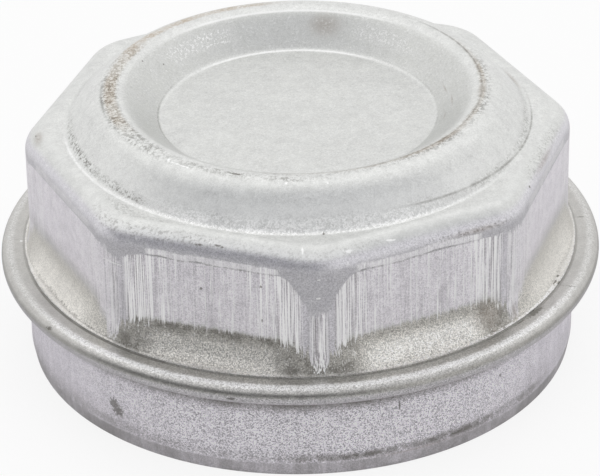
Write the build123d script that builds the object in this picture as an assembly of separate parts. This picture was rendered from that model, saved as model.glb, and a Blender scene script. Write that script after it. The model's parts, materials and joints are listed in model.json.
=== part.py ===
"""Press-in hub grease cap: one sheet of steel, deep drawn to an eight-sided head, with a folded flange and a skirt.

The origin is the middle of the skirt's rim, the plane that the cap stands on. +Z is the cap's axis and points to
the closed top. A corner of the head points along +X. All sizes are in millimetres.
"""
from build123d import *
import math
import os

# Sheet
SHEET = 1.2

# Skirt, which is pressed into the hub's bore, with a lead-in at its rim
SKIRT_DIAMETER = 72.0
SKIRT_LENGTH = 12.2
LEAD_IN_HEIGHT = 1.7
LEAD_IN_DEPTH = 0.3
RIM_ROUND = 0.25

# Flange: the sheet folded back on itself and pressed flat, with a full round edge
FLANGE_OVERHANG = 3.35
FLANGE_BEND = 0.8
FOLD_WEB = 0.1

# Die line: a fine lip where the head stands on the flange
LIP_HEIGHT = 0.23
LIP_LEDGE = 0.1

# Scoops: each flat sweeps out to a circle, just wider than the skirt
FOOT_OVERHANG = 0.15
SCOOP_DEPTH = 2.85
SCOOP_HEIGHT = 4.27

# Eight-sided head
SIDES = 8
CORNER_ROUND = 7.8
FLAT_HEIGHT = 9.55
BEND_ROUND = 2.8
SHOULDER_LAND = 0.55

# Dome band, from the step at its foot up to the ridge
STEP_FILLET = 1.0
DOME_RUN = 6.0
DOME_RISE = 4.55
RIDGE_FLAT = 0.2
RIDGE_OUTER_HALF = 1.9
RIDGE_INNER_HALF = 1.3

# Floor sunk inside the ridge
FLOOR_RUN = 6.1
FLOOR_DEPTH = 3.9
FLOOR_FILLET = 1.5

# Sections that each scoop is drawn through, and how far the last has turned to the level
SCOOP_SECTIONS = 7
SCOOP_TURN = 88.0

# Radii, from the skirt inwards
skirt_radius = SKIRT_DIAMETER / 2
skirt_inside = skirt_radius - SHEET
flange_radius = skirt_radius + FLANGE_OVERHANG
foot_radius = skirt_radius + FOOT_OVERHANG
apothem = foot_radius - SCOOP_DEPTH
step_radius = apothem - BEND_ROUND - SHOULDER_LAND
ridge_radius = step_radius - DOME_RUN
floor_radius = ridge_radius - FLOOR_RUN

# Heights, from the rim upwards
fold_height = SKIRT_LENGTH + SHEET
flange_top = fold_height + SHEET
lip_top = flange_top + LIP_HEIGHT
scoop_top = lip_top + SCOOP_HEIGHT
bend_start = scoop_top + FLAT_HEIGHT
shoulder_top = bend_start + BEND_ROUND
ridge_top = shoulder_top + DOME_RISE
floor_top = ridge_top - FLOOR_DEPTH


def turned(profile):
    """Turns a profile of radius and height, drawn flat, about the cap's axis."""
    return revolve(Plane.XZ * make_face(profile), Axis.Z)


def octagon(flat_distance, corner_round):
    """A regular outline of the head, with round corners and one corner on +X."""
    outline = RegularPolygon(flat_distance, SIDES, major_radius=False)
    return fillet(outline.vertices(), corner_round)


def dome(inset):
    """What lies under the dome band, ridge and floor, down to the bend, with its top face inset by a distance."""
    ridge_outer = ridge_radius + RIDGE_OUTER_HALF
    ridge_inner = ridge_radius - RIDGE_INNER_HALF
    half_slope = math.tan(math.atan2(DOME_RISE, step_radius - ridge_outer) / 2)
    half_wall = math.tan(math.atan2(FLOOR_DEPTH, ridge_inner - floor_radius) / 2)
    step_fillet = min(STEP_FILLET, SHOULDER_LAND / half_slope)
    step_foot = step_radius + step_fillet * half_slope
    corners = [
        (0, floor_top - inset),
        (floor_radius + inset * half_wall, floor_top - inset),
        (ridge_inner + inset * half_wall, ridge_top - inset),
        (ridge_outer - inset * half_slope, ridge_top - inset),
        (step_radius - inset * half_slope, shoulder_top - inset),
        (step_foot + SHOULDER_LAND, shoulder_top - inset),
    ]
    rounds = [
        FLOOR_FILLET + inset,
        (RIDGE_INNER_HALF - RIDGE_FLAT / 2) / half_wall - inset,
        (RIDGE_OUTER_HALF - RIDGE_FLAT / 2) / half_slope - inset,
        step_fillet + inset,
    ]
    top = FilletPolyline(*corners, radius=rounds)
    under = Polyline(corners[-1], (corners[-1][0], bend_start), (0, bend_start), corners[0])
    whole = turned([top, under])
    return whole & Cylinder(step_foot, 2 * ridge_top), step_foot


def head(inset):
    """The eight-sided head from the scoops up, with its sides and top inset by a distance."""
    outline = octagon(apothem - inset, CORNER_ROUND - inset)
    block = extrude(Pos(0, 0, scoop_top) * outline, FLAT_HEIGHT + BEND_ROUND - inset)
    block = fillet(block.faces().sort_by(Axis.Z)[-1].edges(), BEND_ROUND - inset)
    top, step_foot = dome(inset)
    well = Pos(0, 0, bend_start) * Cylinder(step_foot, BEND_ROUND, align=(Align.CENTER, Align.CENTER, Align.MIN))
    return block - well + top


def scoops(inset):
    """The band where the flats sweep out to a circle, with its sides inset by a distance."""
    sections = []
    for index in range(SCOOP_SECTIONS):
        turn = math.radians(SCOOP_TURN * index / (SCOOP_SECTIONS - 1))
        out = 1 - math.cos(turn)
        down = math.sin(turn) / math.sin(math.radians(SCOOP_TURN))
        flat_distance = apothem - inset + (SCOOP_DEPTH + inset) * out
        corner_round = CORNER_ROUND - inset + (foot_radius - CORNER_ROUND + inset) * out
        height = scoop_top - (SCOOP_HEIGHT + inset) * down
        sections.append(Pos(0, 0, height) * octagon(flat_distance, corner_round))
    return loft(sections)


def base_outside():
    """The lip, flange and skirt, solid to the axis."""
    lip_radius = foot_radius + LIP_LEDGE
    edge_radius = flange_radius - SHEET
    bend_radius = skirt_radius + FLANGE_BEND
    bend_height = SKIRT_LENGTH - FLANGE_BEND
    top = Polyline((0, lip_top), (lip_radius, lip_top), (lip_radius, flange_top), (edge_radius, flange_top))
    edge = CenterArc((edge_radius, fold_height), SHEET, 90, -180)
    underside = Line((edge_radius, SKIRT_LENGTH), (bend_radius, SKIRT_LENGTH))
    bend = CenterArc((bend_radius, bend_height), FLANGE_BEND, 90, 90)
    skirt = Polyline(
        (skirt_radius, bend_height),
        (skirt_radius, LEAD_IN_HEIGHT),
        (skirt_radius - LEAD_IN_DEPTH, 0),
        (0, 0),
        (0, lip_top),
    )
    return turned([top, edge, underside, bend, skirt])


def base_inside():
    """The space inside the skirt and the flange, which closes to the fold's edge."""
    bend_radius = skirt_radius + FLANGE_BEND
    bend_height = SKIRT_LENGTH - FLANGE_BEND
    fold_radius = flange_radius - SHEET - FOLD_WEB
    skirt = Polyline((0, 0), (skirt_inside, 0), (skirt_inside, bend_height))
    bend = CenterArc((bend_radius, bend_height), FLANGE_BEND + SHEET, 180, -90)
    fold = Polyline(
        (bend_radius, fold_height),
        (fold_radius, fold_height),
        (foot_radius, lip_top - SHEET),
        (0, lip_top - SHEET),
        (0, 0),
    )
    return turned([skirt, bend, fold])


def cap_shell():
    """The finished sheet: its outer form, less the same form one sheet inside it."""
    outside = base_outside() + scoops(0) + head(0)
    inside = base_inside() + scoops(SHEET) + head(SHEET)
    shell = outside - inside
    rim = shell.faces().sort_by(Axis.Z)[0]
    return fillet(rim.edges(), RIM_ROUND)


os.makedirs("parts", exist_ok=True)
export_step(cap_shell(), "parts/cap_shell.step")
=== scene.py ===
"""Dresses the hub grease cap: the drawn sheet with its marks of making and wear, on a plain studio floor."""

import json
import math
from collections import namedtuple
from types import SimpleNamespace

import bpy
import numpy as np
from bpy.props import FloatProperty, FloatVectorProperty, IntProperty, PointerProperty
from mathutils import Matrix, Vector
from mathutils.kdtree import KDTree


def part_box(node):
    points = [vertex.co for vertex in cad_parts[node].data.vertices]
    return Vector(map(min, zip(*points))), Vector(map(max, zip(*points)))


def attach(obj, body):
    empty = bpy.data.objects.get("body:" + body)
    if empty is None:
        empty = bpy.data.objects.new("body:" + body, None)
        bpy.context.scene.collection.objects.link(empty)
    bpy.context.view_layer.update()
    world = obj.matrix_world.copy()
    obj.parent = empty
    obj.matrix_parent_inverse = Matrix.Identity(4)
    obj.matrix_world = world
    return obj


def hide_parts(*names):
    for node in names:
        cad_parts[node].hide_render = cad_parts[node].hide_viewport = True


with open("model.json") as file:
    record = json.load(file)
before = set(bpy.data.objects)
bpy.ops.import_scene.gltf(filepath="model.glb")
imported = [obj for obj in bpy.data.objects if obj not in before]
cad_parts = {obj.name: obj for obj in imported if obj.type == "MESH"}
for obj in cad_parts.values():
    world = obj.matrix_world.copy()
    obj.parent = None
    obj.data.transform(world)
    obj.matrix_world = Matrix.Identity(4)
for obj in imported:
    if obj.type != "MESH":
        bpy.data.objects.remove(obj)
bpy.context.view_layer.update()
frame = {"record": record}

bl_info = {
    "name": "Hub grease cap",
    "version": (1, 0, 0),
    "blender": (4, 5, 0),
    "location": "View3D > Sidebar > Cap",
    "description": "Models a drawn steel hub grease cap with its finish, and the studio that it stands in",
    "category": "Add Mesh",
}

# Units
MM = 0.001

# What the frame says of the cap
CAP_LOW, CAP_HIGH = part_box("cap_shell")
MOUNTS = {mount["name"]: mount for mount in frame["record"]["mounts"]}
SKIRT_RADIUS = MOUNTS["skirt"]["dims"]["r_mm"] * MM
SKIRT_LENGTH = MOUNTS["flange_seat"]["pos_m"][2]
FLANGE_RADIUS = min(CAP_HIGH[0], CAP_HIGH[1], -CAP_LOW[0], -CAP_LOW[1])
CAP_HEIGHT = CAP_HIGH[2]

# Head: eight sides, with a corner on +X
SIDES = 8
HALF_SIDE = math.pi / SIDES
SCOOP_TURN = math.radians(88)

# Spacing of the section's points, outside and inside, and what counts as one point
FINE_BEND = math.radians(10)
FINE_SPACING = 1.0 * MM
COARSE_BEND = math.radians(22)
COARSE_SPACING = 3.0 * MM
SAME_POINT = 0.002 * MM

# Outlines of the head, outside and inside: parts of the land, and steps of the bend, the flats and the scoops
LAND_PARTS = (0.25, 0.5, 0.75)
BEND_STEPS = (12, 4)
FLAT_STEPS = (10, 3)
SCOOP_STEPS = (14, 6)

# Smooth shading goes over edges that turn less than this
SMOOTH_ANGLE = math.radians(40)

# The photograph's frame, and how near the camera sees
IMAGE_WIDTH = 600
SENSOR_WIDTH = 36.0
CLIP_START = 0.01

# Card round the camera's side, and the card above the cap in sizes of the soft lamp
CARD_RADIUS = 1.0
CARD_FACES = 96
CARD_GAP = 0.01
ROOF_WIDTH = 2.0
ROOF_DEPTH = 0.7
ROOF_FORWARD = 0.38

# The floor's white, and how much of it shows whatever its shadow
FLOOR_WHITE = (0.9, 0.9, 0.9, 1.0)
FLOOR_ROUGHNESS = 0.9
FLOOR_SHOWN = 0.85

# Where a part of the turn starts and ends to fade, in shares of its half
FADE_INNER = 0.6
FADE_OUTER = 1.3

# Marks of handling: how deep each reaches in the metal in millimetres, and how crisp and ragged its edge is
ANY_HEIGHT = 1000
THROUGH_SHEET = 10
CRISP = 0.4
BLURRED = 0.8
RAGGED = 3.2

# Rings of dirt that aren't quite round: each one's start off the ridge or step, and its lean for a radian
CREST_START = -0.15
CREST_LEAN = 0.78
STEP_START = 0.35
STEP_LEAN = 1.26

Station = namedtuple("Station", "flat height corner inside")
Mark = namedtuple("Mark", "turn radius height across along upright")
Marks = namedtuple("Marks", "dark bright stain")


def level_marks(*rows):
    """Marks on level or sloping metal, each from its turn in degrees, then radius, length and breadth."""
    return [Mark(turn, radius, 0, across, along, ANY_HEIGHT) for turn, radius, along, across in rows]


def upright_marks(*rows):
    """Marks on upright metal, each from its turn in degrees, then height, length and tallness."""
    radius = SKIRT_RADIUS / MM
    return [Mark(turn, radius, height, THROUGH_SHEET, along, tall) for turn, height, along, tall in rows]


# Marks of handling on the top, in degrees and millimetres: dark nicks, bright nicks and soft brown stains
TOP_MARKS = Marks(
    dark=level_marks(
        (-88, 30.2, 0.22, 0.2),
        (153, 22.1, 0.1, 0.1),
        (146, 20.4, 0.1, 0.1),
        (-112, 24.1, 0.7, 0.16),
        (-114.5, 24.0, 0.3, 0.08),
    ),
    bright=level_marks(
        (-134, 24.8, 0.25, 0.2),
        (-129, 24.9, 1.7, 0.1),
        (-97, 25.1, 0.16, 0.16),
        (-85.5, 25.3, 0.2, 0.2),
    ),
    stain=level_marks(
        (76, 20.8, 1.8, 1.1),
        (-70, 23.0, 1.2, 0.3),
        (-8, 23.7, 1.4, 0.5),
        (-42, 23.5, 3.4, 0.35),
        (15, 29.8, 2.2, 0.4),
        (7, 19.5, 0.9, 0.08),
        (-4, 19.9, 1.1, 0.09),
        (-13, 19.1, 0.8, 0.08),
    ),
)

# Marks of handling on the bend, flats and scoops
SIDE_MARKS = Marks(
    dark=level_marks(
        (-110.4, 32.6, 0.2, 0.08),
        (-111.4, 32.5, 0.35, 0.08),
        (-115.4, 32.7, 0.25, 0.09),
        (-116.2, 32.75, 0.2, 0.06),
        (-34, 33.5, 0.16, 0.1),
        (-178, 33.9, 0.3, 0.06),
        (-27.8, 35.75, 0.6, 0.1),
        (-25.6, 35.6, 0.3, 0.12),
    ) + upright_marks(
        (-101.7, 26.2, 0.14, 0.16),
        (-101.6, 21.4, 0.13, 0.3),
        (-115, 24.6, 0.16, 0.22),
    ),
    bright=level_marks(
        (-93, 33.5, 0.1, 0.4),
        (-113, 32.3, 0.5, 0.07),
        (-83.6, 33.6, 0.5, 0.18),
        (-73.6, 32.5, 0.5, 0.1),
    ) + upright_marks(
        (-90, 28.1, 0.25, 0.1),
        (-90, 25.5, 0.25, 0.12),
        (-45, 20.4, 0.3, 1.7),
        (-135, 26.0, 1.4, 0.08),
    ),
    stain=level_marks(
        (-177, 33.6, 1.2, 0.5),
    ) + upright_marks(
        (-51.8, 17.3, 1.6, 1.8),
        (-44.8, 15.9, 0.5, 1.0),
        (-22, 30.2, 2.8, 0.3),
        (-54, 29.4, 2.8, 0.3),
    ),
)

# Marks of handling on the flange and skirt
BASE_MARKS = Marks(
    dark=level_marks(
        (-44.6, 36.5, 0.8, 0.14),
        (-39.6, 36.6, 1.5, 0.4),
        (0, 37.2, 0.1, 0.5),
    ) + upright_marks(
        (-49.6, 8.0, 0.15, 0.15),
        (-134.9, 5.3, 0.8, 0.8),
        (-134.0, 4.6, 0.8, 0.8),
        (-74, 8.9, 0.1, 0.8),
        (-148, 14.1, 0.5, 0.2),
        (-106.5, 13.2, 0.6, 0.16),
        (-27.6, 14.9, 0.3, 0.25),
    ),
    bright=level_marks(
        (179, 36.7, 0.15, 0.2),
    ),
    stain=upright_marks(
        (-70, 1.95, 5.0, 0.12),
    ),
)


def length(name, description, default):
    """A size in metres for a property group."""
    return FloatProperty(name=name, description=description, default=default, unit="LENGTH", precision=5)


def share(name, description, default):
    """A value from 0 to 1 for a property group."""
    return FloatProperty(
        name=name, description=description, default=default, min=0.0, max=1.0, subtype="FACTOR"
    )


def angle(name, description, degrees):
    """An angle for a property group."""
    return FloatProperty(name=name, description=description, default=math.radians(degrees), subtype="ANGLE")


def power(name, description, default):
    """A lamp's power in watts for a property group."""
    return FloatProperty(name=name, description=description, default=default, unit="POWER")


def colour(name, description, default):
    """A colour for a property group."""
    return FloatVectorProperty(
        name=name, description=description, default=default, size=3, min=0.0, max=1.0, subtype="COLOR"
    )


class CapSizes(bpy.types.PropertyGroup):
    """Sizes of the drawn sheet."""

    sheet: length("Sheet", "Thickness of the steel", 1.2 * MM)
    skirt_radius: length("Skirt radius", "Outside of the skirt", SKIRT_RADIUS)
    skirt_length: length("Skirt length", "From the rim up to the flange", SKIRT_LENGTH)
    lead_in_height: length("Lead-in height", "Tapered end of the skirt", 1.7 * MM)
    lead_in_depth: length("Lead-in depth", "How far the rim is drawn in", 0.3 * MM)
    rim_round: length("Rim round", "Round of the rim's edges", 0.25 * MM)
    flange_radius: length("Flange radius", "Outside of the folded flange", FLANGE_RADIUS)
    flange_bend: length("Flange bend", "Round between the flange and the skirt", 0.8 * MM)
    fold_web: length("Fold web", "Metal at the end of the closed fold", 0.1 * MM)
    lip_height: length("Lip height", "Die line at the foot of the head", 0.23 * MM)
    lip_ledge: length("Lip ledge", "How far the die line stands out", 0.1 * MM)
    lip_round: length("Lip round", "Round of the die line's edge", 0.05 * MM)
    foot_overhang: length("Foot overhang", "Foot of the scoops past the skirt", 0.15 * MM)
    scoop_depth: length("Scoop depth", "From the foot in to the flats", 2.85 * MM)
    scoop_height: length("Scoop height", "From the die line up to the flats", 4.27 * MM)
    corner_round: length("Corner round", "Round of the head's upright corners", 7.8 * MM)
    flat_height: length("Flat height", "Straight part of each side", 9.55 * MM)
    bend_round: length("Bend round", "Round from the flats to the shoulder", 2.8 * MM)
    shoulder_land: length("Shoulder land", "Level from the bend to the step", 0.55 * MM)
    step_fillet: length("Step fillet", "Round at the foot of the dome band", 1.0 * MM)
    cap_height: length("Cap height", "From the rim to the top of the ridge", CAP_HEIGHT)
    dome_run: length("Dome run", "From the step in to the ridge", 6.0 * MM)
    ridge_flat: length("Ridge flat", "Level part of the ridge", 0.2 * MM)
    ridge_outer_half: length("Ridge outer half", "From the ridge's middle to its outer bend", 1.9 * MM)
    ridge_inner_half: length("Ridge inner half", "From the ridge's middle to its inner bend", 1.3 * MM)
    floor_run: length("Floor run", "From the ridge in to the sunk floor", 6.1 * MM)
    floor_depth: length("Floor depth", "From the ridge down to the floor", 3.9 * MM)
    floor_fillet: length("Floor fillet", "Round at the edge of the floor", 1.5 * MM)
    dent_depth: length("Dent depth", "Deepest of the small dents of handling", 0.05 * MM)
    lip_wear: length("Lip wear", "How much the die line's edge wanders", 0.09 * MM)
    side_steps: IntProperty(
        name="Side steps", description="Faces along each of the eight sides", default=60, min=8
    )


class CapFinish(bpy.types.PropertyGroup):
    """Colours, satin and relief of the zinc plating, and of what has marked it."""

    plated: colour("Plated", "Zinc plating on the top", (0.735, 0.74, 0.725))
    worn: colour("Worn", "Flats scraped by the die", (0.86, 0.83, 0.875))
    # The burnished white also paints highlights: on the die line's edge, the flange's upper round, the
    # floor's edge at the back, low on the dome's front, on the bend and in a scoop
    burnished: colour("Burnished", "Bright lines scraped by the die", (1.0, 1.0, 1.0))
    scoop: colour("Scoop", "Stretched plating in the scoops", (0.775, 0.755, 0.715))
    # The flange's darker colour is partly a painted reflection of the dark head above it
    flange: colour("Flange", "Plating on the folded flange", (0.58, 0.57, 0.55))
    skirt: colour("Skirt", "Grained plating on the skirt", (0.885, 0.85, 0.912))
    inside: colour("Inside", "Plating inside the cap", (0.62, 0.62, 0.62))
    bend: colour("Bend", "Plating stretched over the bend", (0.71, 0.695, 0.735))
    # The dull colour also paints shade over the recess walls and floor
    dull: colour("Dull", "Dull patches in the recess and on the bend", (0.53, 0.535, 0.515))
    stain: colour("Stain", "Soft brown stains", (0.3, 0.24, 0.19))
    # This dark colour paints shade as well as soiling: under the flats and in the scoops, at the flange's
    # root, sides and outer round, under the flange and at the rim
    grime: colour("Grime", "Dark dirt along the bends", (0.16, 0.15, 0.13))
    ochre: colour("Ochre", "Dry earth on the ridge", (0.46, 0.36, 0.25))
    plated_roughness: share("Plated roughness", "Satin of the plating", 0.4)
    worn_roughness: share("Worn roughness", "Satin of the scraped flats", 0.5)
    grain_roughness: share("Grain roughness", "Satin of the grained metal", 0.5)
    worn_scatter: share("Worn scatter", "Light that the scraped flats scatter", 0.4)
    skirt_scatter: share("Skirt scatter", "Light that the grained skirt scatters", 0.65)
    flange_scatter: share("Flange scatter", "Light that the flange scatters", 0.25)
    scoop_scatter: share("Scoop scatter", "Light that the grained scoops scatter", 0.2)
    bright_scatter: share("Bright scatter", "Light that scraped lines and rubbed edges scatter", 0.9)
    flange_roughness: share("Flange roughness", "Satin of the flange, rubbed by its tool", 0.32)
    dirt_roughness: share("Dirt roughness", "What dirt adds to the roughness", 0.25)
    top_relief: length("Top relief", "Depth of the top's grain", 0.003 * MM)
    side_relief: length("Side relief", "Depth of the sides' streaks and grain", 0.02 * MM)
    base_relief: length("Base relief", "Depth of the flange's and skirt's grain", 0.012 * MM)
    inside_relief: length("Inside relief", "Depth of the grain inside", 0.006 * MM)


class StageSettings(bpy.types.PropertyGroup):
    """The studio: floor, lamps, cards and camera."""

    camera_place: FloatVectorProperty(
        name="Camera place", description="Where the camera stands", default=(-0.02313, -0.38156, 0.23665),
        size=3, subtype="TRANSLATION", unit="LENGTH", precision=5
    )
    camera_pitch: angle("Camera pitch", "How far the camera looks down", 30.285)
    camera_heading: angle("Camera heading", "Turn of the camera from +Y towards +X", 3.468)
    camera_roll: angle("Camera roll", "Lean of the camera", -0.973)
    focal_pixels: FloatProperty(
        name="Focal length", description="Focal length in pixels of the image", default=3351.4
    )
    floor_size: length("Floor size", "Side of the square floor", 6.0)
    lamp_height: length("Lamp height", "Soft lamp above the cap", 1.0)
    lamp_size: length("Lamp size", "Side of the soft lamp", 1.5)
    lamp_power: power("Lamp power", "Soft lamp above the cap", 7.0)
    strip_length: length("Strip length", "Long lamp behind the cap", 1.4)
    strip_width: length("Strip width", "Narrow side of the lamp behind the cap", 0.3)
    strip_power: power("Strip power", "Long lamp behind the cap", 0.45)
    strip_rise: angle("Strip rise", "How high the long lamp stands, seen from the cap", 58)
    fill_light: share("Fill light", "Light from all round", 0.5)
    card_grey: colour("Card", "Card on the camera's side", (0.32, 0.325, 0.34))
    card_left: angle("Card left", "How far the card reaches to the camera's left", 80)
    card_right: angle("Card right", "How far the card reaches to the camera's right", 24)
    card_rise: angle("Card rise", "How high the card stands, seen from the cap", 38)
    roof_grey: colour("Roof", "Card above the cap", (0.74, 0.745, 0.765))
    dim_floor: length("Dim floor", "How far the floor shows darker in the metal", 0.3)
    near_floor: share("Near floor", "How the floor at the cap shows in the metal", 0.48)


def levels(sizes):
    """Radii and heights that follow from the sizes."""
    place = SimpleNamespace()
    place.skirt_inside = sizes.skirt_radius - sizes.sheet
    place.foot_radius = sizes.skirt_radius + sizes.foot_overhang
    place.lip_radius = place.foot_radius + sizes.lip_ledge
    place.apothem = place.foot_radius - sizes.scoop_depth
    place.step_radius = place.apothem - sizes.bend_round - sizes.shoulder_land
    place.ridge_radius = place.step_radius - sizes.dome_run
    place.floor_radius = place.ridge_radius - sizes.floor_run
    place.fold_height = sizes.skirt_length + sizes.sheet
    place.flange_top = place.fold_height + sizes.sheet
    place.lip_top = place.flange_top + sizes.lip_height
    place.scoop_top = place.lip_top + sizes.scoop_height
    place.bend_start = place.scoop_top + sizes.flat_height
    place.shoulder_top = place.bend_start + sizes.bend_round
    place.ridge_top = sizes.cap_height
    place.floor_top = place.ridge_top - sizes.floor_depth
    place.dome_rise = place.ridge_top - place.shoulder_top
    return place


def bend_points(before, corner, after, radius, bend_step):
    """Points round one corner of a path."""
    back = (before - corner).normalized()
    ahead = (after - corner).normalized()
    half = back.angle(ahead) / 2
    centre = corner + (back + ahead).normalized() * (radius / math.sin(half))
    arm = corner + back * (radius / math.tan(half)) - centre
    turn = math.pi - 2 * half
    if back.cross(ahead) > 0:
        turn = -turn
    steps = max(2, round(abs(turn) / bend_step))
    points = []
    for step in range(steps + 1):
        points.append(centre + Matrix.Rotation(turn * step / steps, 2) @ arm)
    return points


def rounded_path(corners, rounds, fine):
    """Points of radius and height along a path whose inner corners are rounded."""
    bend_step = FINE_BEND if fine else COARSE_BEND
    spacing = FINE_SPACING if fine else COARSE_SPACING
    corners = [Vector(corner) for corner in corners]
    rough = [corners[0]]
    for before, corner, after, radius in zip(corners, corners[1:], corners[2:], rounds):
        if radius > 0:
            rough += bend_points(before, corner, after, radius, bend_step)
        else:
            rough.append(corner)
    rough.append(corners[-1])
    points = [rough[0]]
    for point in rough[1:]:
        start = points[-1]
        gap = point - start
        if gap.length < SAME_POINT:
            continue
        pieces = math.ceil(gap.length / spacing)
        for piece in range(1, pieces + 1):
            points.append(start + gap * (piece / pieces))
    return points


def dome_points(sizes, place, inset):
    """The path from the middle of the floor over the ridge to the step."""
    ridge_outer = place.ridge_radius + sizes.ridge_outer_half
    ridge_inner = place.ridge_radius - sizes.ridge_inner_half
    half_slope = math.tan(math.atan2(place.dome_rise, place.step_radius - ridge_outer) / 2)
    half_wall = math.tan(math.atan2(sizes.floor_depth, ridge_inner - place.floor_radius) / 2)
    step_fillet = min(sizes.step_fillet, sizes.shoulder_land / half_slope)
    corners = [
        (0, place.floor_top - inset),
        (place.floor_radius + inset * half_wall, place.floor_top - inset),
        (ridge_inner + inset * half_wall, place.ridge_top - inset),
        (ridge_outer - inset * half_slope, place.ridge_top - inset),
        (place.step_radius - inset * half_slope, place.shoulder_top - inset),
        (place.step_radius + step_fillet * half_slope, place.shoulder_top - inset),
    ]
    rounds = [
        sizes.floor_fillet + inset,
        (sizes.ridge_inner_half - sizes.ridge_flat / 2) / half_wall - inset,
        (sizes.ridge_outer_half - sizes.ridge_flat / 2) / half_slope - inset,
        step_fillet + inset,
    ]
    return rounded_path(corners, rounds, inset == 0)


def head_outlines(sizes, place, inset, step_foot):
    """Flat distance, height and corner round of each outline from the shoulder down to the scoops' foot."""
    outlines = []
    layer = int(inset > 0)
    bend_steps = BEND_STEPS[layer]
    flat_steps = FLAT_STEPS[layer]
    scoop_steps = SCOOP_STEPS[layer]
    land = place.apothem - sizes.bend_round
    land_corner = sizes.corner_round - sizes.bend_round
    for part in LAND_PARTS:
        flat = step_foot + (land - step_foot) * part
        corner = step_foot + (land_corner - step_foot) * part
        outlines.append((flat, place.shoulder_top - inset, corner))
    bend = sizes.bend_round - inset
    for step in range(bend_steps + 1):
        turn = math.pi / 2 * step / bend_steps
        out = bend * math.sin(turn)
        outlines.append((land + out, place.bend_start + bend * math.cos(turn), land_corner + out))
    flat = place.apothem - inset
    corner = sizes.corner_round - inset
    for step in range(1, flat_steps + 1):
        outlines.append((flat, place.bend_start - sizes.flat_height * step / flat_steps, corner))
    for step in range(1, scoop_steps + 1):
        turn = SCOOP_TURN * step / scoop_steps
        out = 1 - math.cos(turn)
        down = (sizes.scoop_height + inset) * math.sin(turn) / math.sin(SCOOP_TURN)
        wide = flat + (sizes.scoop_depth + inset) * out
        round_corner = corner + (place.foot_radius - corner) * out
        outlines.append((wide, place.scoop_top - down, round_corner))
    return outlines


def base_points(sizes, place):
    """The paths of the lip, flange and skirt: outside down to the rim, and inside up to the fold."""
    rim_outer = sizes.skirt_radius - sizes.lead_in_depth
    rim_middle = (rim_outer + place.skirt_inside) / 2
    fold_radius = sizes.flange_radius - sizes.sheet - sizes.fold_web
    outside = rounded_path(
        [
            (place.foot_radius, place.lip_top),
            (place.lip_radius, place.lip_top),
            (place.lip_radius, place.flange_top),
            (sizes.flange_radius, place.flange_top),
            (sizes.flange_radius, sizes.skirt_length),
            (sizes.skirt_radius, sizes.skirt_length),
            (sizes.skirt_radius, sizes.lead_in_height),
            (rim_outer, 0),
            (rim_middle, 0),
        ],
        [
            sizes.lip_round,
            0,
            sizes.sheet,
            sizes.sheet,
            sizes.flange_bend,
            sizes.lead_in_height / 2,
            sizes.rim_round,
        ],
        True,
    )
    inside = rounded_path(
        [
            (rim_middle, 0),
            (place.skirt_inside, 0),
            (place.skirt_inside, place.fold_height),
            (fold_radius, place.fold_height),
            (place.foot_radius, place.lip_top - sizes.sheet),
        ],
        [sizes.rim_round, sizes.flange_bend + sizes.sheet, 0],
        False,
    )
    return outside, inside[1:]


def section(sizes, place):
    """The stations of the sheet's whole section, from the middle of the floor round to its underside."""
    outer_dome = dome_points(sizes, place, 0)
    inner_dome = dome_points(sizes, place, sizes.sheet)
    outer_base, inner_base = base_points(sizes, place)
    outer_head = head_outlines(sizes, place, 0, outer_dome[-1].x)
    inner_head = head_outlines(sizes, place, sizes.sheet, inner_dome[-1].x)
    stations = [Station(point.x, point.y, point.x, False) for point in outer_dome]
    stations += [Station(*outline, False) for outline in outer_head]
    stations += [Station(point.x, point.y, point.x, False) for point in outer_base]
    stations += [Station(point.x, point.y, point.x, True) for point in inner_base]
    stations += [Station(*outline, True) for outline in reversed(inner_head)]
    stations += [Station(point.x, point.y, point.x, True) for point in reversed(inner_dome)]
    return stations


def outline_reach(flat, corner, turn):
    """How far an eight-sided outline with round corners reaches at a turn about the axis."""
    off_corner = np.abs((turn + HALF_SIDE) % (2 * HALF_SIDE) - HALF_SIDE)
    centre = (flat - corner) / math.cos(HALF_SIDE)
    arc_end = np.arctan2(corner * math.sin(HALF_SIDE), centre + corner * math.cos(HALF_SIDE))
    inside_arc = np.maximum(corner ** 2 - (centre * np.sin(off_corner)) ** 2, 0)
    on_arc = centre * np.cos(off_corner) + np.sqrt(inside_arc)
    on_flat = flat / np.cos(HALF_SIDE - off_corner)
    return np.where(off_corner < arc_end, on_arc, on_flat)


def spun_blank(sizes, stations):
    """Draws the section point by point, spins it through one side, and repeats that round the axis."""
    bpy.ops.object.select_all(action="DESELECT")
    bpy.ops.mesh.primitive_plane_add(size=MM, location=(0, 0, 0))
    shell = bpy.context.object
    shell.name = "drawn_shell"
    shell.data.name = "drawn_shell"
    bpy.ops.object.mode_set(mode="EDIT")
    bpy.ops.mesh.select_all(action="SELECT")
    bpy.ops.mesh.merge(type="CENTER")
    bpy.ops.transform.translate(value=(stations[0].flat, 0, stations[0].height))
    for last, station in zip(stations, stations[1:]):
        move = (station.flat - last.flat, 0, station.height - last.height)
        bpy.ops.mesh.extrude_region_move(TRANSFORM_OT_translate={"value": move})
    bpy.ops.mesh.select_all(action="SELECT")
    side = 2 * HALF_SIDE
    bpy.ops.mesh.spin(steps=sizes.side_steps, angle=side, center=(0, 0, 0), axis=(0, 0, 1))
    bpy.ops.mesh.select_all(action="SELECT")
    bpy.ops.mesh.spin(
        steps=SIDES - 1, angle=2 * math.pi - side, center=(0, 0, 0), axis=(0, 0, 1), dupli=True
    )
    bpy.ops.mesh.select_all(action="SELECT")
    bpy.ops.mesh.remove_doubles(threshold=SAME_POINT)
    bpy.ops.mesh.normals_make_consistent(inside=False)
    bpy.ops.object.mode_set(mode="OBJECT")
    return shell


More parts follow.
